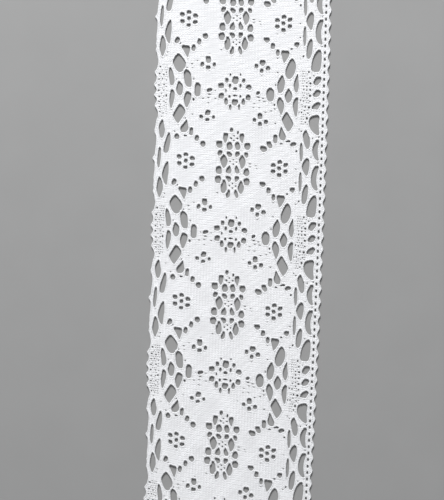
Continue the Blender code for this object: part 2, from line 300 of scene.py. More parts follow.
def rightTrailDots():
    return ((34.7, 23.8, 1.0, 0.8), (34.9, 26.2, 1.1, 1.1), (33.2, 26.1, 0.7, 0.7),
            (33.3, 27.7, 0.8, 0.8), (31.7, 27.6, 0.5, 0.6), (34.9, 29.1, 1.0, 1.0),
            (33.3, 29.3, 0.7, 0.8), (31.9, 29.2, 0.6, 0.9), (34.9, 31.8, 1.1, 1.2),
            (33.4, 31.2, 0.6, 0.6), (33.5, 33.0, 0.7, 1.0), (31.9, 34.4, 0.8, 0.8),
            (30.6, 34.2, 0.5, 1.2), (35.0, 34.4, 0.8, 0.8), (34.6, 37.1, 1.2, 1.2),
            (32.8, 36.9, 0.7, 1.2), (31.6, 37.0, 0.5, 0.7), (32.5, 38.6, 0.9, 0.5),
            (34.1, 39.7, 1.1, 0.6), (31.2, 39.6, 0.6, 1.0), (30.0, 39.7, 0.5, 1.1),
            (32.4, 41.3, 0.6, 0.6), (33.8, 42.1, 1.0, 1.4), (33.1, 44.0, 0.7, 0.8),
            (32.0, 31.8, 0.5, 0.7), (34.0, 21.1, 0.8, 1.2), (36.4, 22.7, 0.7, 0.7))


def gapsBetweenRows():
    # where two rows of weft stand apart
    return ((-11.9, 34.2, 1.7, 0.5), (-12.4, 35.7, 1.5, 0.4), (-14.9, 36.2, 1.2, 0.45),
            (-12.5, 38.1, 1.3, 0.35), (-9.2, 35.9, 1.2, 0.4), (-14.2, 32.4, 0.9, 0.4),
            (-9.3, 32.3, 0.8, 0.4), (11.0, 34.0, 1.6, 0.55), (13.0, 34.4, 1.4, 0.5),
            (11.4, 35.6, 1.5, 0.4), (13.7, 35.8, 1.6, 0.4), (9.0, 37.0, 1.3, 0.35),
            (11.3, 38.8, 1.3, 0.35), (14.4, 40.6, 1.4, 0.4), (16.9, 39.9, 1.3, 0.4),
            (18.7, 38.9, 1.1, 0.5), (8.7, 38.9, 1.1, 0.35), (6.2, 43.3, 1.0, 0.3),
            (7.8, -1.2, 1.3, 0.5), (7.9, 0.2, 1.2, 0.4), (10.6, -0.5, 0.8, 0.4), (11.0, 0.8, 0.9, 0.4),
            (18.8, 4.8, 0.9, 0.4), (19.3, 15.8, 0.9, 0.4), (12.1, 24.2, 0.8, 0.35),
            (-7.0, 13.4, 1.1, 0.5), (-17.9, 18.9, 0.9, 0.35), (-12.5, 15.6, 0.9, 0.35),
            (-20.4, 20.6, 1.1, 0.55), (-20.1, 22.4, 0.9, 0.35), (29.4, -0.5, 0.8, 0.45),
            (36.3, 59.6, 0.8, 0.4))


def lonePinholes():
    return ((-25.9, 11.4, 0.6, 0.9), (-31.8, 15.8, 0.5, 0.8), (-32.2, 17.6, 0.5, 0.7),
            (-22.8, 22.6, 0.9, 0.7), (-19.4, 27.5, 0.5, 1.3), (-19.3, 37.0, 1.0, 1.5),
            (-19.7, 43.9, 0.8, 0.55), (-22.9, 46.0, 0.7, 0.8), (-27.8, 52.4, 0.7, 0.6),
            (19.6, 22.2, 0.9, 0.6), (22.6, 22.3, 0.6, 0.5), (18.9, 27.9, 0.7, 1.5),
            (18.4, 37.0, 0.95, 0.95), (19.1, 45.5, 0.9, 0.6), (29.6, 5.8, 0.7, 0.6),
            (30.0, 15.5, 0.5, 0.7), (36.9, 10.6, 0.6, 0.6), (39.8, 9.4, 0.6, 0.6),
            (31.3, 48.1, 0.8, 0.7), (30.3, 47.2, 0.7, 0.5), (39.6, 50.3, 0.7, 0.6),
            (36.8, 51.0, 0.5, 1.0), (39.6, 62.0, 0.5, 0.6), (-1.2, 53.8, 0.8, 0.8),
            (1.9, 53.5, 0.7, 0.7), (-27.4, 28.1, 0.5, 0.7), (-34.0, 46.0, 0.5, 0.5),
            (-30.3, 48.6, 0.5, 0.5))


sideTrails = ({"middle": -33.9, "top": 22.0, "bottom": 45.5, "outer": 35.6},
              {"middle": 33.1, "top": 21.0, "bottom": 45.0, "outer": 35.4})
trailDot = {"wide": 0.42, "tall": 0.5, "pitchDown": 1.08, "pitchAcross": 0.95, "stagger": 0.2,
            "room": 0.6}


def trailPinholes(others):
    # the two side trails are worked more open, with a tiny hole wherever no charted one is near
    found = []
    for trail in sideTrails:
        rows = int((trail["bottom"] - trail["top"]) / trailDot["pitchDown"]) + 1
        for row in range(rows):
            down = trail["top"] + trailDot["pitchDown"] * row
            aside = trailDot["stagger"] * (row % 2)
            for column in range(-2, 3):
                across = trail["middle"] + trailDot["pitchAcross"] * column + aside
                room = others.at(np.array([across]), np.array([down]))[0]
                if room > trailDot["room"] and abs(across) < trail["outer"]:
                    found.append(hole(across, down, trailDot["wide"], trailDot["tall"]))
    return found


trailCrossings = (-12.4, -1.4, 9.6)
roundCrossing = ((0.0, -1.1), (0.0, 1.0), (-1.5, 0.0), (1.5, 0.0))


def spiderPinholes():
    # four round the middle of each crossing in the middle trail
    return [(across, crossing + further, 0.8, 0.85) for crossing in trailCrossings
            for across, further in roundCrossing]


def pinholes():
    rows = list(leftTrailDots() + rightTrailDots() + gapsBetweenRows() + lonePinholes())
    return [hole(*row) for row in rows + spiderPinholes()]


def holesOfRepeat():
    paired = middleTrails() + rosetteSides()
    found = leftNet() + rightNet() + besideFooting() + paired + [mirrored(part) for part in paired]
    found += rosetteMiddle() + arcs()
    found += sevenHoleFlowers() + fourHoleFlowers()
    return found


def powered(values, power):
    return np.sign(values) * np.abs(values) ** power


# The threads draw each hole a little out of shape, the larger holes more
pulled = {"most": 0.12, "fullWidth": 2.5, "turnAcross": 5.1, "turnDown": 3.7}


def outlineOf(part, spacing, shiftDown=0.0, grow=0.0):
    # even points round the hole in chart places, pushed out by grow
    angle = np.linspace(0.0, tau, 121)[:-1]
    c, s = np.cos(angle), np.sin(angle)
    roundness = np.where(s > 0, part["head"], part["foot"])
    side = powered(c, 2 / roundness)
    level = powered(s, 2 / roundness)
    reach = np.where(level > 0, 1 - part["belly"], 1 + part["belly"])
    height = part["tall"] / 2 * (part["belly"] + level * reach)
    across = side * part["wide"] / 2
    across = across + part["lean"] * height / part["tall"]
    across = across + part["bow"] * (1 - (2 * height / part["tall"]) ** 2)
    height = height + part["slant"] * side / 2
    pull = pulled["most"] * min(1.0, part["wide"] / pulled["fullWidth"])
    across = across + pull * np.sin(3 * angle + pulled["turnAcross"] * part["across"])
    height = height + pull * np.sin(4 * angle + pulled["turnDown"] * part["down"])
    loop = np.stack([part["across"] + across, part["down"] - height + shiftDown], axis=1)
    loop = evenLoop(loop, max(6, int(round(loopLength(loop) / spacing))))
    if grow:
        ahead = np.roll(loop, -1, axis=0) - np.roll(loop, 1, axis=0)
        ahead /= np.linalg.norm(ahead, axis=1, keepdims=True) + 1e-9
        outward = np.stack([-ahead[:, 1], ahead[:, 0]], axis=1)
        if ((loop + outward) - loop.mean(axis=0))[0] @ outward[0] < 0:
            outward = -outward
        loop = loop + outward * grow
    return loop


def loopLength(loop):
    return np.linalg.norm(np.roll(loop, -1, axis=0) - loop, axis=1).sum()


def evenLoop(loop, count):
    closed = np.vstack([loop, loop[:1]])
    reach = np.concatenate([[0.0], np.cumsum(np.linalg.norm(np.diff(closed, axis=0), axis=1))])
    at = np.linspace(0.0, reach[-1], count + 1)[:-1]
    return np.stack([np.interp(at, reach, closed[:, k]) for k in range(2)], axis=1)


leftBase = -36.8
leftBumps = ((-0.2, 1.1, 1.2), (9.0, 0.4, 2.2), (12.3, 0.5, 1.1), (15.2, 0.6, 1.2), (20.8, -0.7, 2.6),
             (25.6, 0.9, 1.2), (31.3, 1.2, 1.3), (36.1, 1.3, 1.2), (38.5, -0.35, 5.0), (41.0, 1.0, 1.3),
             (45.4, -0.95, 2.6), (53.0, 0.6, 1.4), (57.5, -0.5, 3.0))


def leftEdge(down):
    # each bump has its place down, how far it stands out and its half length
    place = (down + trim["repeat"] / 4) % trim["repeat"] - trim["repeat"] / 4
    out = 0.0
    for middle, far, half in leftBumps:
        for turn in (-trim["repeat"], 0.0, trim["repeat"]):
            out = out + far * np.exp(-((place - middle + turn) / half) ** 2)
    return leftBase - out


def rightEdge(down):
    # a picot of 1 mm at every pitch, narrower than the curves between
    wave = 0.5 + 0.5 * np.cos(tau * (down - footing["firstPicot"]) / footing["picotPitch"])
    return footing["edge"] + wave ** footing["picotPoint"]


def lastCut():
    return trim["firstCut"] + trim["repeat"] * trim["repeats"]


def distanceTo(loop, points):
    # signed distance from the points to a closed outline, below zero inside it
    nearest = np.full(len(points), 1e9)
    within = np.zeros(len(points), dtype=bool)
    x, y = points[:, 0], points[:, 1]
    for (ax, ay), (bx, by) in zip(loop, np.roll(loop, -1, axis=0)):
        lengthSquared = (bx - ax) ** 2 + (by - ay) ** 2 + 1e-12
        run = np.clip(((x - ax) * (bx - ax) + (y - ay) * (by - ay)) / lengthSquared, 0, 1)
        nearest = np.minimum(nearest, (x - ax - run * (bx - ax)) ** 2 + (y - ay - run * (by - ay)) ** 2)
        if ay != by:
            crosses = ((ay > y) != (by > y)) & (x < ax + (bx - ax) * (y - ay) / (by - ay))
            within ^= crosses
    return np.where(within, -np.sqrt(nearest), np.sqrt(nearest))


chart = {"cell": 0.1, "left": -42.0, "columns": 900, "spacing": 0.35, "reach": 2.5, "pinholeReach": 1.2}


class Clearance:
    # how far each chart place of one repeat is from the nearest rim, on a fine grid
    def __init__(self, parts, reach):
        self.cell = chart["cell"]
        self.left = chart["left"]
        self.columns = chart["columns"]
        self.rows = int(round(trim["repeat"] / self.cell))
        self.grid = np.full((self.rows, self.columns), reach)
        for part in parts:
            loop = outlineOf(part, chart["spacing"])
            low = np.floor((loop.min(axis=0) - reach - (self.left, 0.0)) / self.cell).astype(int)
            high = np.ceil((loop.max(axis=0) + reach - (self.left, 0.0)) / self.cell).astype(int)
            columns = np.arange(max(low[0], 0), min(high[0], self.columns - 1) + 1)
            rows = np.arange(low[1], high[1] + 1)
            across, down = np.meshgrid(self.left + columns * self.cell, rows * self.cell)
            found = distanceTo(loop, np.stack([across.ravel(), down.ravel()], axis=1)).reshape(across.shape)
            spot = np.ix_(rows % self.rows, columns)
            self.grid[spot] = np.minimum(self.grid[spot], found)
        self.slopeDown = (np.roll(self.grid, -1, axis=0) - np.roll(self.grid, 1, axis=0)) / (2 * self.cell)
        self.slopeAcross = np.gradient(self.grid, self.cell, axis=1)

    def sample(self, grid, across, down):
        x = np.clip((across - self.left) / self.cell, 0, self.columns - 1.001)
        y = (down / self.cell) % self.rows
        x0, y0 = x.astype(int), y.astype(int)
        fx, fy = x - x0, y - y0
        y1 = (y0 + 1) % self.rows
        y0 = y0 % self.rows
        top = grid[y0, x0] * (1 - fx) + grid[y0, x0 + 1] * fx
        bottom = grid[y1, x0] * (1 - fx) + grid[y1, x0 + 1] * fx
        return top * (1 - fy) + bottom * fy

    def at(self, across, down):
        return self.sample(self.grid, across, down)

    def away(self, across, down):
        # unit direction away from the nearest hole
        u = self.sample(self.slopeAcross, across, down)
        v = self.sample(self.slopeDown, across, down)
        size = np.sqrt(u * u + v * v) + 1e-6
        return u / size, v / size


waviness = {"slow": 0.05, "quick": 0.03}


def lift(across, down):
    # the cloth's own slight unevenness in height, in millimetres
    slow = np.sin(across / 5.3 + down / 17.0) * np.sin(down / 7.9 - across / 31.0)
    quick = np.sin(across / 1.9 + 1.3) * np.sin(down / 2.3 + across / 9.0)
    return waviness["slow"] * (1 + slow) + waviness["quick"] * (1 + quick)


def newMesh(name, verts, faces, yarn=None, smooth=True):
    # verts in metres, faces as rows of equal length; yarn holds along, side and tone for each vertex
    sides = faces.shape[1]
    mesh = bpy.data.meshes.new(name)
    mesh.vertices.add(len(verts))
    mesh.vertices.foreach_set("co", np.asarray(verts, dtype=np.float32).ravel())
    mesh.loops.add(faces.size)
    mesh.loops.foreach_set("vertex_index", np.asarray(faces, dtype=np.int32).ravel())
    mesh.polygons.add(len(faces))
    mesh.polygons.foreach_set("loop_start", np.arange(0, faces.size, sides, dtype=np.int32))
    mesh.polygons.foreach_set("use_smooth", np.full(len(faces), smooth))
    mesh.update(calc_edges=True)
    mesh.validate()
    if yarn is not None:
        layer = mesh.attributes.new("yarn", "FLOAT_VECTOR", "POINT")
        layer.data.foreach_set("vector", np.asarray(yarn, dtype=np.float32).ravel())
    addFlatMap(mesh, np.asarray(verts), faces)
    return mesh


flatMap = {"margin": 0.01, "wide": 0.48, "tall": 0.98, "half": 0.5}


def addFlatMap(mesh, verts, faces):
    # seen from above on the left half of the map and from below on the right half
    a, b, c = verts[faces[:, 0]], verts[faces[:, 1]], verts[faces[:, 2]]
    normal = np.cross(b - a, c - a)[:, 2]
    below = np.repeat(normal < 0, faces.shape[1])
    corners = verts[faces.ravel()]
    low, high = verts.min(axis=0), verts.max(axis=0)
    spread = np.maximum(high - low, 1e-6)
    u = (corners[:, 0] - low[0]) / spread[0] * flatMap["wide"] + flatMap["margin"]
    v = (corners[:, 1] - low[1]) / spread[1] * flatMap["tall"] + flatMap["margin"]
    u = np.where(below, u + flatMap["half"], u)
    layer = mesh.uv_layers.new(name="OFBake")
    layer.data.foreach_set("uv", np.stack([u, v], axis=1).astype(np.float32).ravel())


def addPiece(name, mesh, material):
    mesh.materials.append(material)
    piece = bpy.data.objects.new(name, mesh)
    bpy.context.scene.collection.objects.link(piece)
    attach(piece, "root")
    return piece


def addYarn(name, made, material):
    # made holds the verts in mm, the faces and the marks along the yarn
    verts, faces, yarn = made
    return addPiece(name, newMesh(name, verts * mm, faces, yarn), material)


def makeTubes(points, linked, ring, tone, slim):
    # points are rows of places in mm; a tube joins each point to the next wherever linked is true
    sides = len(ring)
    keep = np.zeros(points.shape[:2], dtype=bool)
    keep[:, :-1] |= linked
    keep[:, 1:] |= linked
    number = np.cumsum(keep.ravel()).reshape(keep.shape) - 1
    centres = points[keep]
    verts = (centres[:, None, :] + ring[None, :, :3] * slim[keep][:, None, None]).reshape(-1, 3)
    steps = np.linalg.norm(np.diff(points, axis=1, prepend=points[:, :1]), axis=2)
    along = np.cumsum(steps, axis=1)[keep]
    yarn = np.zeros((len(centres), sides, 3))
    yarn[:, :, 0] = along[:, None]
    yarn[:, :, 1] = ring[None, :, 3]
    yarn[:, :, 2] = np.broadcast_to(tone[:, None], keep.shape)[keep][:, None]
    a = number[:, :-1][linked] * sides
    b = number[:, 1:][linked] * sides
    quads = []
    for k in range(sides):
        n = (k + 1) % sides
        quads.append(np.stack([a + k, a + n, b + n, b + k], axis=1))
    # close the four-sided tubes at both ends
    starts = number[:, :-1][linked & ~shifted(linked, -1)] * sides
    ends = number[:, 1:][linked & ~shifted(linked, 1)] * sides
    quads.append(np.stack([starts + 3, starts + 2, starts + 1, starts], axis=1))
    quads.append(np.stack([ends, ends + 1, ends + 2, ends + 3], axis=1))
    return verts, np.concatenate(quads), yarn.reshape(-1, 3)


def addTubes(name, count, points, linked, ring, tone, slim, material):
    # the rows of threads shared out over that many pieces
    pieces = []
    for number, rows in enumerate(np.array_split(np.arange(len(points)), count)):
        made = makeTubes(points[rows], linked[rows], ring, tone[rows], slim[rows])
        pieces.append(addYarn(name + str(number + 1), made, material))
    return pieces


def shifted(linked, turn):
    # what the link before (-1) or after (1) each one is
    found = np.zeros_like(linked)
    if turn < 0:
        found[:, 1:] = linked[:, :-1]
    else:
        found[:, :-1] = linked[:, 1:]
    return found


weave = {"left": -38.9, "wide": 83.5, "weftPitch": 0.54, "pairGap": 0.035, "passivePitch": 0.70,
         "height": 0.50, "endRoom": 0.4, "shortEnd": 0.1, "longEnd": 0.9, "edgeRoom": 0.3,
         "edgeReach": 0.42, "linkRoom": 0.02,
         "waveAcross": 0.05, "waveDown": 0.04, "looseAcross": 0.02, "looseDown": 0.015,
         "weftSwing": 0.02, "weftRidge": 0.045, "weftHalfWidth": 0.29, "weftHalfThick": 0.19,
         "weftUp": 0.07, "passiveSwing": 0.04, "passiveHalfWidth": 0.31, "passiveHalfThick": 0.17,
         "passiveUp": -0.07}

# How threads give way to a hole: those further inside than ends stop there, the rest are pushed
# out to tuck and then on by ease, which fades over fade
givesWay = {"ends": -0.33, "tuck": 0.30, "ease": 0.16, "fade": 0.7}
givesWayToPinhole = {"ends": -0.06, "tuck": 0.23, "ease": 0.08, "fade": 0.4,
                     "thinnest": 0.72, "thickens": 0.5}


def pushed(far, way):
    # how far a thread at that distance from a hole is pushed away from it
    beyond = np.clip(far - way["tuck"], 0, None)
    return np.clip(way["tuck"] - far, 0, None) + way["ease"] * np.exp(-beyond / way["fade"])


def crossings(rimmed, pins, rng):
    # chart place of every crossing of a weft with a passive, bent round the holes
    rowCount = int((lastCut() - trim["firstCut"] - weave["endRoom"]) / weave["weftPitch"])
    columnCount = int(weave["wide"] / weave["passivePitch"])
    rows = np.arange(rowCount)
    columns = np.arange(columnCount)
    paired = np.where(rows % 2, -1, 1) * weave["pairGap"]
    down = trim["firstCut"] + weave["edgeRoom"] + weave["weftPitch"] * rows + paired
    across = weave["left"] + weave["passivePitch"] * columns
    u, v = np.meshgrid(across, down)
    wave = weave["waveAcross"] * np.sin(v / 5.3 + 2.1 * columns[None, :])
    u = u + wave + rng.normal(0, weave["looseAcross"], u.shape)
    wave = weave["waveDown"] * np.sin(u / 4.1 + 1.7 * rows[:, None])
    v = v + wave + rng.normal(0, weave["looseDown"], v.shape)
    far = rimmed.at(u, v)
    keep = far > givesWay["ends"]
    du, dv = rimmed.away(u, v)
    push = pushed(far, givesWay)
    u = u + du * push
    v = v + dv * push
    pin = pins.at(u, v)
    pu, pv = pins.away(u, v)
    keep &= pin > givesWayToPinhole["ends"]
    push = pushed(pin, givesWayToPinhole)
    u = u + pu * push
    v = v + pv * push
    thinnest = givesWayToPinhole["thinnest"]
    slim = np.clip(thinnest + givesWayToPinhole["thickens"] * pins.at(u, v), thinnest, 1.0)
    left = leftEdge(v) + weave["edgeRoom"]
    right = rightEdge(v) - weave["edgeRoom"]
    keep &= (u > left - weave["edgeReach"]) & (u < right + weave["edgeReach"])
    u = np.clip(u, left, right)
    return u, v, keep, slim


def threadPlaces(u, v, up):
    x, y = lie(u, v)
    z = weave["height"] + lift(u, v) + up
    return np.stack([x, y, z], axis=2)


def linksOf(u, v, keep, rimmed, pins):
    # a thread goes on to the next crossing where no hole lies between
    middleU = (u[:, 1:] + u[:, :-1]) / 2
    middleV = (v[:, 1:] + v[:, :-1]) / 2
    clear = (rimmed.at(middleU, middleV) > weave["linkRoom"]) & (pins.at(middleU, middleV) > 0.0)
    return keep[:, 1:] & keep[:, :-1] & clear


def addWefts(u, v, linked, slim, tone, material):
    # the workers' threads run across; one piece for each repeat
    half, thick = weave["weftHalfWidth"], weave["weftHalfThick"]
    ring = np.array([(0, 0, thick, 0), (0, half, 0, 1), (0, 0, -thick, 0), (0, -half, 0, -1)], dtype=float)
    parity = np.where((np.arange(u.shape[0])[:, None] + np.arange(u.shape[1])[None, :]) % 2, 1.0, -1.0)
    # here and there each passive pair shows through as a faint line
    ridge = np.where(np.arange(u.shape[1]) % 2, 0.5, -0.5)[None, :]
    ridge = ridge * (1 + np.sin(u / 5.1 + v / 31) * np.sin(v / 8.7))
    points = threadPlaces(u, v, parity * weave["weftSwing"] + ridge * weave["weftRidge"] + weave["weftUp"])
    return addTubes("threads_across_", trim["repeats"], points, linked, ring, tone, slim, material)


def addPassives(u, v, linked, slim, tone, material, rng):
    # the passive threads run the whole length; each piece holds a quarter of them
    half, thick = weave["passiveHalfWidth"], weave["passiveHalfThick"]
    ring = np.array([(0, 0, thick, 0), (-half, 0, 0, -1), (0, 0, -thick, 0), (half, 0, 0, 1)], dtype=float)
    parity = np.where((np.arange(u.shape[0])[:, None] + np.arange(u.shape[1])[None, :]) % 2, -1.0, 1.0)
    v = v.copy()
    v[0] -= rng.uniform(weave["shortEnd"], weave["longEnd"], v.shape[1])     # uneven cut ends
    v[-1] += rng.uniform(weave["shortEnd"], weave["longEnd"], v.shape[1])
    points = threadPlaces(u, v, parity * weave["passiveSwing"] + weave["passiveUp"]).transpose(1, 0, 2)
    return addTubes("threads_along_", 4, points, linked, ring, tone, slim.T, material)


def cordAlong(path, size, sides, tone, closed, turnEach, flat):
    # a cord on a flat path with heights, in mm. Its section reaches size to each side and size
    # times flat up and down, and turns a little at each point, so that two plies seem to twist.
    count = len(path)
    if closed:
        ahead = np.roll(path, -1, axis=0) - np.roll(path, 1, axis=0)
    else:
        ahead = np.gradient(path, axis=0)
    ahead[:, 2] = 0
    ahead /= np.linalg.norm(ahead, axis=1, keepdims=True) + 1e-9
    sideways = np.stack([-ahead[:, 1], ahead[:, 0], np.zeros(count)], axis=1)
    upward = np.array([0.0, 0.0, 1.0])
    angle = tau * np.arange(sides) / sides
    turned = (turnEach * np.arange(count))[:, None]
    wide = np.cos(angle)[None, :] * size[:, None]
    thick = np.sin(angle)[None, :] * size[:, None] * flat
    aside = wide * np.cos(turned) - thick * np.sin(turned)
    above = wide * np.sin(turned) + thick * np.cos(turned)
    verts = path[:, None, :] + aside[:, :, None] * sideways[:, None, :] + above[:, :, None] * upward
    steps = np.concatenate([[0.0], np.linalg.norm(np.diff(path, axis=0), axis=1)])
    yarn = np.zeros((count, sides, 3))
    yarn[:, :, 0] = np.cumsum(steps)[:, None]
    yarn[:, :, 1] = np.cos(angle)[None, :]
    yarn[:, :, 2] = tone
    last = count if closed else count - 1
    shift = int(round(turnEach * count / (tau / sides))) if closed else 0
    a = np.arange(last) * sides
    b = ((np.arange(last) + 1) % count) * sides
    over = np.zeros(last, dtype=int)
    over[-1] = shift     # the last ring joins the first one, turned
    faces = []
    for k in range(sides):
        n = (k + 1) % sides
        faces.append(np.stack([a + n, a + k, b + (k + over) % sides, b + (n + over) % sides], axis=1))
    return verts.reshape(-1, 3), np.concatenate(faces), yarn.reshape(-1, 3)


def joined(parts):
    # several lots of verts, faces and yarn as one
    verts, faces, yarn = [], [], []
    start = 0
    for some in parts:
        verts.append(some[0])
        faces.append(some[1] + start)
        yarn.append(some[2])
        start += len(some[0])
    return np.concatenate(verts), np.concatenate(faces), np.concatenate(yarn)


smallHole = 1.3     # holes less wide or less tall have a finer rim, and corners closer together

rims = {"size": 0.35, "flat": 0.58, "spacing": 0.31, "sides": 4, "height": 0.54, "twist": 1.25,
        "smallSize": 0.7, "clear": 0.95, "smallClear": 0.8, "endRoom": 0.3, "ripple": 0.03, "swell": 0.06}


def addRims(parts, material, rng):
    # a twisted pair runs round every hole but the ladder's and the pinholes; one piece for each repeat
    pieces = []
    for turn in range(trim["repeats"]):
        found = []
        for shift in (turn - 1, turn, turn + 1):
            for part in parts:
                down = part["down"] + shift * trim["repeat"]
                low = trim["firstCut"] + turn * trim["repeat"]
                if not low <= down < low + trim["repeat"]:
                    continue
                small = min(part["wide"], part["tall"]) < smallHole
                size = rims["size"] * (rims["smallSize"] if small else 1.0)
                clear = size * (rims["smallClear"] if small else rims["clear"])
                loop = outlineOf(part, rims["spacing"], shift * trim["repeat"], clear)
                first = trim["firstCut"] + rims["endRoom"]
                last = lastCut() - rims["endRoom"]
                if loop[:, 1].min() < first or loop[:, 1].max() > last:
                    continue     # a hole that the cut meets has no rim
                x, y = lie(loop[:, 0], loop[:, 1])
                step = np.arange(len(loop))
                z = rims["height"] + lift(loop[:, 0], loop[:, 1]) + rims["ripple"] * np.sin(step * 1.1)
                swell = size * (1 + rims["swell"] * np.sin(step * 0.9 + rng.uniform(0, tau)))
                halfTurns = max(1, round(loopLength(loop) / rims["twist"]))
                path = np.stack([x, y, z], axis=1)
                found.append(cordAlong(path, swell, rims["sides"], rng.uniform(), True,
                                       math.pi * halfTurns / len(loop), rims["flat"]))
        pieces.append(addYarn("rims_" + str(turn + 1), joined(found), material))
    return pieces


edgeCord = {"step": 0.34, "swell": 0.07, "end": 0.02, "tone": 0.6, "leftInset": 0.38, "leftSize": 0.36,
            "rightInset": 0.33, "rightSize": 0.32}
ladderCords = ((40.4, 0.32), (42.2, 0.28))     # place across and size


def addEdges(material):
    # a twisted pair along both edges, and one at each side of the ladder
    down = np.arange(trim["firstCut"], lastCut(), edgeCord["step"])
    lines = {"edge_left": [(leftEdge(down) + edgeCord["leftInset"], edgeCord["leftSize"])],
             "edge_right": [(rightEdge(down) - edgeCord["rightInset"], edgeCord["rightSize"])]}
    lines["edge_right"] += [(across + 0 * down, size) for across, size in ladderCords]
    pieces = []
    for name, runs in lines.items():
        found = []
        for across, size in runs:
            x, y = lie(across, down)
            z = rims["height"] + lift(across, down)
            swell = size * (1 + edgeCord["swell"] * np.sin(np.arange(len(down)) * 0.7))
            swell[[0, -1]] = edgeCord["end"]
            turnEach = math.pi * edgeCord["step"] / rims["twist"]
            path = np.stack([x, y, z], axis=1)
            found.append(cordAlong(path, swell, rims["sides"], edgeCord["tone"], False, turnEach,
                                   rims["flat"]))
        pieces.append(addYarn(name, joined(found), material))
    return pieces


core = {"bottom": 0.40, "thick": 0.24, "inset": 0.1, "step": 1.0, "spacing": 0.9, "smallSpacing": 0.5}


def addCloth(parts, material):
    # the flat ground that closes the gaps between threads, with every hole cut
    down = np.arange(trim["firstCut"], lastCut() + 0.01, core["step"])
    left = np.stack([leftEdge(down) + core["inset"], down], axis=1)
    right = np.stack([rightEdge(down) - core["inset"], down], axis=1)[::-1]
    outline = np.vstack([left, right])
    loops = []
    for turn in range(-1, trim["repeats"] + 1):
        for part in parts:
            small = min(part["wide"], part["tall"]) < smallHole
            spacing = core["smallSpacing"] if small else core["spacing"]
            loop = outlineOf(part, spacing, turn * trim["repeat"])
            if loop[:, 1].max() > trim["firstCut"] and loop[:, 1].min() < lastCut():
                loops.append(loop)
    points, edges = [], []
    for loop in [outline] + loops:
        start = len(points)
        points += [Vector(corner) for corner in loop.tolist()]
        edges += [(start + k, start + (k + 1) % len(loop)) for k in range(len(loop))]
    made = delaunay_2d_cdt(points, edges, [], 0, 1e-5)
    corners = np.array([corner[:] for corner in made[0]])
    triangles = np.array([face[:] for face in made[2]])
    middles = corners[triangles].mean(axis=1)
    kept = insideOf(outline, middles)
    for loop in loops:
        box = np.all((middles > loop.min(axis=0)) & (middles < loop.max(axis=0)), axis=1) & kept
        inside = np.zeros(len(middles), dtype=bool)
        inside[box] = insideOf(loop, middles[box])
        kept &= ~inside
    triangles = triangles[kept]
    used, renumbered = np.unique(triangles, return_inverse=True)
    triangles = renumbered.reshape(-1, 3)
    corners = corners[used]
    x, y = lie(corners[:, 0], corners[:, 1])
    a, b, c = triangles.T
    area = (x[b] - x[a]) * (y[c] - y[a]) - (y[b] - y[a]) * (x[c] - x[a])
    triangles[area < 0] = triangles[area < 0][:, ::-1]
    count = len(corners)
    z = core["bottom"] + lift(corners[:, 0], corners[:, 1])
    top = np.stack([x, y, z + core["thick"]], axis=1)
    bottom = np.stack([x, y, z], axis=1)
    borders = np.concatenate([triangles[:, [0, 1]], triangles[:, [1, 2]], triangles[:, [2, 0]]])
    coded = borders[:, 0] * count + borders[:, 1]
    back = borders[:, 1] * count + borders[:, 0]
    a, b = borders[~np.isin(coded, back)].T     # only one triangle has these, so a wall stands on each
    walls = np.concatenate([np.stack([a + count, b + count, b], axis=1),
                            np.stack([a + count, b, a], axis=1)])
    faces = np.concatenate([triangles, triangles[:, ::-1] + count, walls])
    mesh = newMesh("cloth", np.vstack([top, bottom]) * mm, faces, None, False)
    cloth = addPiece("cloth", mesh, material)
    return cloth, float(np.abs(area).sum() / 2) * mm * mm


def insideOf(loop, points):
    # true for points inside the outline
    within = np.zeros(len(points), dtype=bool)
    x, y = points[:, 0], points[:, 1]
    for (ax, ay), (bx, by) in zip(loop, np.roll(loop, -1, axis=0)):
        if ay != by:
            within ^= ((ay > y) != (by > y)) & (x < ax + (bx - ax) * (y - ay) / (by - ay))
    return within


class Value:
    # one number socket of a node tree, used in plain sums
    def __init__(self, graph, socket):
        self.graph = graph
        self.socket = socket

    def __add__(self, other):
        return self.graph.maths("ADD", self, other)

    def __radd__(self, other):
        return self.graph.maths("ADD", other, self)

    def __sub__(self, other):
        return self.graph.maths("SUBTRACT", self, other)

    def __rsub__(self, other):
        return self.graph.maths("SUBTRACT", other, self)

    def __mul__(self, other):
        return self.graph.maths("MULTIPLY", self, other)

    def __rmul__(self, other):
        return self.graph.maths("MULTIPLY", other, self)

    def __truediv__(self, other):
        return self.graph.maths("DIVIDE", self, other)

    def __rtruediv__(self, other):
        return self.graph.maths("DIVIDE", other, self)


class Graph:
    def __init__(self, name):
        self.material = bpy.data.materials.new(name)
        self.material.use_nodes = True
        self.tree = self.material.node_tree
        self.shader = self.tree.nodes["Principled BSDF"]

    def feed(self, socket, value):
        if isinstance(value, Value):
            value = value.socket
        if isinstance(value, bpy.types.NodeSocket):
            self.tree.links.new(value, socket)
        else:
            socket.default_value = value

    def node(self, kind, settings, inputs):
        made = self.tree.nodes.new(kind)
        for name, value in settings.items():
            setattr(made, name, value)
        for key, value in inputs.items():
            self.feed(made.inputs[key], value)
        return made

    def maths(self, operation, *values):
        made = self.node("ShaderNodeMath", {"operation": operation}, dict(enumerate(values)))
        return Value(self, made.outputs[0])

    def clamp(self, value):
        made = self.node("ShaderNodeClamp", {}, {"Value": value})
        return Value(self, made.outputs[0])

    def sine(self, value):
        return self.maths("SINE", value)

    def mixColour(self, factor, low, high):
        made = self.node("ShaderNodeMix", {"data_type": "RGBA"}, {0: factor, 6: low, 7: high})
        return made.outputs[2]

    def noise(self, place, scale, detail):
        made = self.node("ShaderNodeTexNoise", {}, {"Vector": place, "Scale": scale, "Detail": detail})
        return Value(self, made.outputs[0])

    def place(self):
        return self.node("ShaderNodeTexCoord", {}, {}).outputs["Object"]

    def split(self, vector):
        made = self.node("ShaderNodeSeparateXYZ", {}, {"Vector": vector})
        return [Value(self, made.outputs[k]) for k in range(3)]


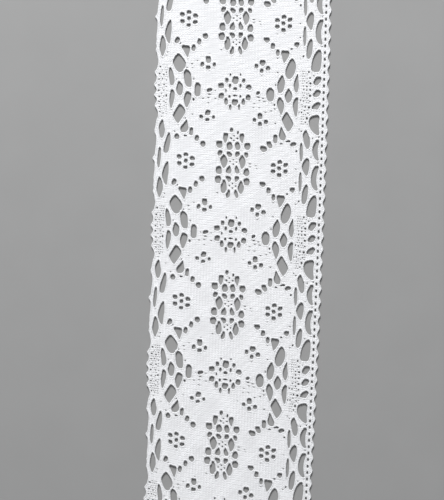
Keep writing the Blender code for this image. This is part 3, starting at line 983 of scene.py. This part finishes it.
# hollow is painted shade, the dark ground seen between the threads; deep and light are the ends of the
# thread colour, reached through random tone and through painted shade low down and painted light on top;
# deep is also the ground's lightest
cotton = {"hollow": (0.74, 0.745, 0.76, 1.0), "deep": (0.81, 0.815, 0.835, 1.0),
          "light": (0.88, 0.885, 0.905, 1.0)}


# The scales of the noises, the height from which thread is painted lighter and the rise to its lightest,
# in mm (painted shade low down, painted light on top), each cause's share of the brightness, the ply's
# share being painted shade in the twist grooves, and how deep the grooves are, in mm
yarnLook = {"fuzz": 5200.0, "cloud": 110.0, "from": 0.2, "rise": 0.5, "paintedHeightShadeShare": 0.35, "paintedGrooveShadeShare": 0.12,
            "toneShare": 0.12, "cloudShare": 0.22, "fuzzShare": 0.1, "grooves": 0.06}
# The threads and the paired cords are lit and shaded copies of one cotton: lightness paints the threads
# lighter against the shade between them and the cords darker against the extra light their raised twists
# catch
threadLook = {"twist": 0.62, "lightness": 0.30}
pairLook = {"twist": 0.9, "lightness": 0.08}


def yarnMaterial(name, look):
    # soft cotton thread: twist grooves as bump and as painted shade, fuzz, and slightly darker hollows,
    # which are painted shade
    graph = Graph(name)
    marks = graph.node("ShaderNodeAttribute", {"attribute_name": "yarn"}, {})
    along, side, tone = graph.split(marks.outputs["Vector"])
    place = graph.place()
    height = graph.split(place)[2]
    # the twist grooves, used as bump and, in the colour, as painted shade
    ply = graph.sine((along / look["twist"] + side * 0.3) * tau) * 0.5 + 0.5
    fuzz = graph.noise(place, yarnLook["fuzz"], 3.0)
    cloud = graph.noise(place, yarnLook["cloud"], 2.0)
    # painted shade: the lower the thread lies, the darker its colour, and its tops get painted light
    paintedHeightShade = graph.clamp((height - yarnLook["from"] * mm) / (yarnLook["rise"] * mm))
    shares = paintedHeightShade * yarnLook["paintedHeightShadeShare"] + ply * yarnLook["paintedGrooveShadeShare"] + tone * yarnLook["toneShare"]
    shares = shares + cloud * yarnLook["cloudShare"] + fuzz * yarnLook["fuzzShare"]
    bright = graph.clamp(shares + look["lightness"])
    graph.feed(graph.shader.inputs["Base Color"], graph.mixColour(bright, cotton["deep"], cotton["light"]))
    graph.feed(graph.shader.inputs["Roughness"], fuzz * 0.15 + 0.8)
    grooves = ply * 0.6 + fuzz * 0.6
    depth = yarnLook["grooves"] * mm
    bump = graph.node("ShaderNodeBump", {}, {"Strength": 0.6, "Distance": depth, "Height": grooves})
    graph.feed(graph.shader.inputs["Normal"], bump.outputs[0])
    graph.shader.inputs["Sheen Weight"].default_value = 0.15
    graph.shader.inputs["Sheen Roughness"].default_value = 0.6
    graph.shader.inputs["Specular IOR Level"].default_value = 0.2
    return graph.material


groundLook = {"fuzz": 4200.0, "paintedWeaveShadeShare": 0.3, "fuzzShare": 0.4, "lightness": 0.1, "hollows": 0.1}


def groundMaterial():
    # the ground between threads, with the same weave as bump; its colour is painted shade, darker than the
    # threads and darker still in the low places of the weave
    graph = Graph("cotton_ground")
    place = graph.place()
    x, y = graph.split(place)[:2]
    fuzz = graph.noise(place, groundLook["fuzz"], 3.0)
    wefts = graph.sine(y * (tau / (2 * weave["weftPitch"] * mm)))
    passives = graph.sine(x * (tau / (2 * weave["passivePitch"] * mm)))
    weaveReliefAndShade = wefts * passives * 0.5 + 0.5
    # painted shade from the weave, with random fuzz
    shares = weaveReliefAndShade * groundLook["paintedWeaveShadeShare"] + fuzz * groundLook["fuzzShare"]
    bright = graph.clamp(shares + groundLook["lightness"])
    graph.feed(graph.shader.inputs["Base Color"], graph.mixColour(bright, cotton["hollow"], cotton["deep"]))
    graph.feed(graph.shader.inputs["Roughness"], fuzz * 0.1 + 0.85)
    rough = weaveReliefAndShade + fuzz * 0.4
    depth = groundLook["hollows"] * mm
    bump = graph.node("ShaderNodeBump", {}, {"Strength": 0.6, "Distance": depth, "Height": rough})
    graph.feed(graph.shader.inputs["Normal"], bump.outputs[0])
    graph.shader.inputs["Specular IOR Level"].default_value = 0.2
    return graph.material


table = {"half": 2.5, "low": (0.325, 0.325, 0.325, 1.0), "high": (0.35, 0.35, 0.35, 1.0)}


def floorMaterial():
    graph = Graph("pale_floor")
    grain = graph.noise(graph.place(), 40.0, 2.0)
    graph.feed(graph.shader.inputs["Base Color"], graph.mixColour(grain, table["low"], table["high"]))
    graph.feed(graph.shader.inputs["Roughness"], grain * 0.05 + 0.85)
    graph.shader.inputs["Specular IOR Level"].default_value = 0.1
    return graph.material


def addFloor():
    half = table["half"]
    corners = [(-half, -half, 0), (half, -half, 0), (half, half, 0), (-half, half, 0)]
    mesh = bpy.data.meshes.new("floor")
    mesh.from_pydata(corners, [], [(0, 1, 2, 3)])
    mesh.materials.append(floorMaterial())
    floor = bpy.data.objects.new("floor", mesh)
    bpy.context.scene.collection.objects.link(floor)


# Soft daylight from the far end of the strip, in metres and watts
daylight = {"place": (-0.25, 1.26, 0.80), "size": 0.40, "power": 30.6}
fillLight = {"place": (0.3, -0.7, 1.3), "size": 1.2, "power": 1.0}
air = {"colour": (0.97, 0.985, 1.0, 1.0), "strength": 0.26}


def addLight(name, look):
    lamp = bpy.data.lights.new(name, "AREA")
    lamp.size = look["size"]
    lamp.energy = look["power"]
    light = bpy.data.objects.new(name, lamp)
    light.location = look["place"]
    light.rotation_mode = "QUATERNION"
    light.rotation_quaternion = (-Vector(look["place"])).to_track_quat("-Z", "Y")
    bpy.context.scene.collection.objects.link(light)


def addLighting():
    addLight("key", daylight)
    addLight("fill", fillLight)
    world = bpy.data.worlds.new("air")
    world.use_nodes = True
    background = world.node_tree.nodes["Background"]
    background.inputs["Color"].default_value = air["colour"]
    background.inputs["Strength"].default_value = air["strength"]
    bpy.context.scene.world = world
    bpy.context.scene.view_settings.view_transform = "Standard"


seed = 7


def buildLace():
    rng = np.random.default_rng(seed)
    parts = holesOfRepeat()
    small = pinholes()
    small += trailPinholes(Clearance(parts + small, chart["reach"]))
    print("holes in a repeat", len(parts), "and pinholes", len(small))
    rimmed = Clearance(parts + ladder(), chart["reach"])
    pins = Clearance(small, chart["pinholeReach"])
    print("clearance charted")
    u, v, keep, slim = crossings(rimmed, pins, rng)
    print("crossings", int(keep.sum()))
    threads = yarnMaterial("cotton_thread", threadLook)
    pairs = yarnMaterial("cotton_pair", pairLook)
    acrossLinks = linksOf(u, v, keep, rimmed, pins)
    alongLinks = linksOf(u.T, v.T, keep.T, rimmed, pins)
    wefts = addWefts(u, v, acrossLinks, slim, rng.uniform(0, 1, u.shape[0]), threads)
    passives = addPassives(u, v, alongLinks, slim, rng.uniform(0, 1, u.shape[1]), threads, rng)
    print("threads laid")
    edging = addRims(parts, pairs, rng) + addEdges(pairs)
    print("rims and edges laid")
    cloth, area = addCloth(parts + ladder() + small, groundMaterial())
    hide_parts("lace_trim")
    total = 0
    for piece in wefts + passives + edging + [cloth]:
        count = sum(len(face.vertices) - 2 for face in piece.data.polygons)
        total += count
        print(piece.name, count)
    print("triangles in all", total, "area", round(area * 1e4, 1), "square cm")


addCamera()
addFloor()
addLighting()
buildLace()
